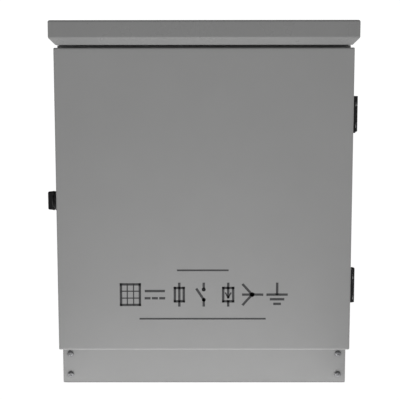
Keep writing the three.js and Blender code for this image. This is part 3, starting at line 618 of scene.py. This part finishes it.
lead("arrester_lead_positive_finish", [(-206, 42, 386.6), (-206, 40, 400), (-206, 38, 420), (-206, 40, 450), (-206, 41, 474.5)], PVC_RED, "arrester_lead_positive")
lead("arrester_lead_negative_finish", [(-215.6, 42, 235), (-220, 42, 242), (-223, 42, 262), (-223.3, 42, 330), (-223, 42, 400), (-218, 38, 436), (-190, 32, 450), (-172, 38, 460), (-170, 41, 474.5)], PVC_BLACK, "arrester_lead_negative")
lead("arrester_lead_earth_finish", [(-188, 41, 565.5), (-188, 41, 578), (-198, 46, 590), (-215, 56, 584), (-222, 60, 560), (-222.6, 60, 450), (-222.6, 60, 330), (-222.6, 60, 220), (-216, 62, 182), (-190, 63, 160), (-150, 63, 156), (-110.6, 64, 156)], PVC_GREEN, "arrester_lead_earth")

# ---------------------------------------------------------------- door marks: plain wiring-diagram symbols and two rules, in place of any wording
FRONT = DF
marks = []


def stroke(x0, z0, x1, z1, w=3.2):
    d = Vector((x1 - x0, 0, z1 - z0))
    length = d.length
    b = block(-length / 2 - w / 2, length / 2 + w / 2, FRONT - 0.12, FRONT + 0.05, -w / 2, w / 2, 0, 1)
    ang = math.atan2(z1 - z0, x1 - x0)
    bmesh.ops.rotate(b, verts=b.verts, cent=(0, 0, 0), matrix=Matrix.Rotation(-ang, 3, "Y"))
    bmesh.ops.translate(b, verts=b.verts, vec=Vector(((x0 + x1) / 2, 0, (z0 + z1) / 2)) * MM)
    marks.append(b)


def frame_mark(x0, x1, z0, z1, w=3.2):
    for a in ((x0, z0, x1, z0), (x0, z1, x1, z1), (x0, z0, x0, z1), (x1, z0, x1, z1)):
        stroke(*a, w)


def ring_mark(cx, cz, r, w=3.0, n=28):
    for i in range(n):
        a, b = 2 * math.pi * i / n, 2 * math.pi * (i + 1) / n
        stroke(cx + r * math.cos(a), cz + r * math.sin(a), cx + r * math.cos(b), cz + r * math.sin(b), w)


ZC = 184.0
W = 4.6
XS = [-140.5 + 46.6 * k for k in range(7)]
x = XS[0]  # photovoltaic module
frame_mark(x - 18, x + 18, ZC - 20, ZC + 20, W)
for q in (-6, 6):
    stroke(x + q, ZC - 20, x + q, ZC + 20, 2.2)
for q in (-6.7, 6.7):
    stroke(x - 18, ZC + q, x + 18, ZC + q, 2.2)
x = XS[1]  # direct current
stroke(x - 17, ZC + 7, x + 17, ZC + 7, W)
for q in (-14, 0, 14):
    stroke(x + q - 3.4, ZC - 7, x + q + 3.4, ZC - 7, W)
x = XS[2]  # fuse
frame_mark(x - 8.5, x + 8.5, ZC - 13, ZC + 13, W)
stroke(x, ZC - 21, x, ZC + 21, W)
x = XS[3]  # switch
stroke(x, ZC - 21, x, ZC - 10, W)
stroke(x, ZC - 10, x - 13, ZC + 10, W)
stroke(x, ZC + 10, x, ZC + 21, W)
ring_mark(x, ZC - 10, 2.4, 2.2, 14)
ring_mark(x, ZC + 10, 2.4, 2.2, 14)
x = XS[4]  # surge arrester
frame_mark(x - 9.5, x + 9.5, ZC - 13, ZC + 13, W)
stroke(x, ZC + 21, x, ZC - 5, W)
stroke(x, ZC - 6, x - 5, ZC + 3, 2.8)
stroke(x, ZC - 6, x + 5, ZC + 3, 2.8)
stroke(x, ZC - 13, x, ZC - 21, W)
x = XS[5]  # joined conductors
for q in (-19, 0, 19):
    stroke(x - 18, ZC + q, x - 1, ZC, W)
stroke(x - 1, ZC, x + 18, ZC, W)
ring_mark(x - 1, ZC, 2.8, 3.0, 14)
x = XS[6]  # earth
stroke(x, ZC + 21, x, ZC + 1, W)
stroke(x - 18, ZC, x + 18, ZC, W)
stroke(x - 11.5, ZC - 9, x + 11.5, ZC - 9, W)
stroke(x - 5, ZC - 18, x + 5, ZC - 18, W)
stroke(-50, 231.2, 45, 231.2, 3.2)
stroke(-122, 137, 116, 137, 3.2)
piece("door_marks", merge(*marks), INK, "door", (), angle=30)

# ---------------------------------------------------------------- stage and light
def stage_plane(name, size, z, mat):
    me = bpy.data.meshes.new(name)
    s = size / 2
    me.from_pydata([(-s, -s, z), (s, -s, z), (s, s, z), (-s, s, z)], [], [(0, 1, 2, 3)])
    me.materials.append(mat)
    o = bpy.data.objects.new(name, me)
    bpy.context.scene.collection.objects.link(o)
    return o


def plain(name, color, rough, emit):
    mt = bpy.data.materials.new(name)
    mt.use_nodes = True
    bs = mt.node_tree.nodes["Principled BSDF"]
    bs.inputs["Base Color"].default_value = (*color, 1)
    bs.inputs["Roughness"].default_value = rough
    bs.inputs["Specular IOR Level"].default_value = 0.1
    bs.inputs["Emission Color"].default_value = (1, 1, 1, 1)
    bs.inputs["Emission Strength"].default_value = emit
    return mt


# A bright white floor lights the cabinet from below; the room above it is dim.
stage_plane("floor", 30, -0.0006, plain("floor", (0.86, 0.86, 0.86), 0.9, 0.81))

world = bpy.data.worlds.new("world")
world.use_nodes = True
bg = world.node_tree.nodes["Background"]
wt = world.node_tree
way = wt.nodes.new("ShaderNodeTexCoord")
axes = wt.nodes.new("ShaderNodeSeparateXYZ")
wr = wt.nodes.new("ShaderNodeValToRGB")
we = wr.color_ramp.elements
we.new(0.4)
for el, (pos, v) in zip(we, ((0.0, 0.50), (0.4, 0.37), (0.9, 0.17))):
    el.position, el.color = pos, (v, v, v, 1)
wt.links.new(way.outputs["Generated"], axes.inputs["Vector"])
wt.links.new(axes.outputs["Z"], wr.inputs["Fac"])
wt.links.new(wr.outputs["Color"], bg.inputs["Color"])
bg.inputs["Strength"].default_value = 1.0
bpy.context.scene.world = world

# white backdrop: a dome that lights nothing
bm = bmesh.new()
bmesh.ops.create_uvsphere(bm, u_segments=48, v_segments=24, radius=14)
dome_mesh = bpy.data.meshes.new("backdrop")
bm.to_mesh(dome_mesh)
bm.free()
dome_mesh.materials.append(plain("backdrop", (0, 0, 0), 1.0, 1.05))
dome = bpy.data.objects.new("backdrop", dome_mesh)
bpy.context.scene.collection.objects.link(dome)
for ray in ("visible_diffuse", "visible_glossy", "visible_transmission", "visible_shadow", "visible_volume_scatter"):
    setattr(dome, ray, False)


def patch(name, x0, x1, y0, y1, z, radiance):
    """A soft light lying on the floor, facing up."""
    d = bpy.data.lights.new(name, "AREA")
    d.shape, d.size, d.size_y = "RECTANGLE", x1 - x0, y1 - y0
    d.energy = radiance * math.pi * (x1 - x0) * (y1 - y0)
    o = bpy.data.objects.new(name, d)
    bpy.context.scene.collection.objects.link(o)
    o.location = ((x0 + x1) / 2, (y0 + y1) / 2, z)
    o.rotation_euler = (math.pi, 0, 0)
    o.visible_camera = False
    return o


patch("floor_light_front", -0.32, 0.28, -1.00, -0.0702, 0.001, FRONT_L)
patch("floor_light_far", -0.40, 0.40, -1.55, -1.20, 0.001, 2.6)
patch("floor_light_back", -0.55, 0.55, 0.16, 0.80, 0.001, 0.5)
patch("floor_light_left", -0.95, -0.36, -0.05, 0.4, 0.001, 0.7)
patch("floor_light_right", 0.36, 0.95, -0.05, 0.4, 0.001, 0.7)

bpy.context.scene.view_settings.view_transform = "Standard"
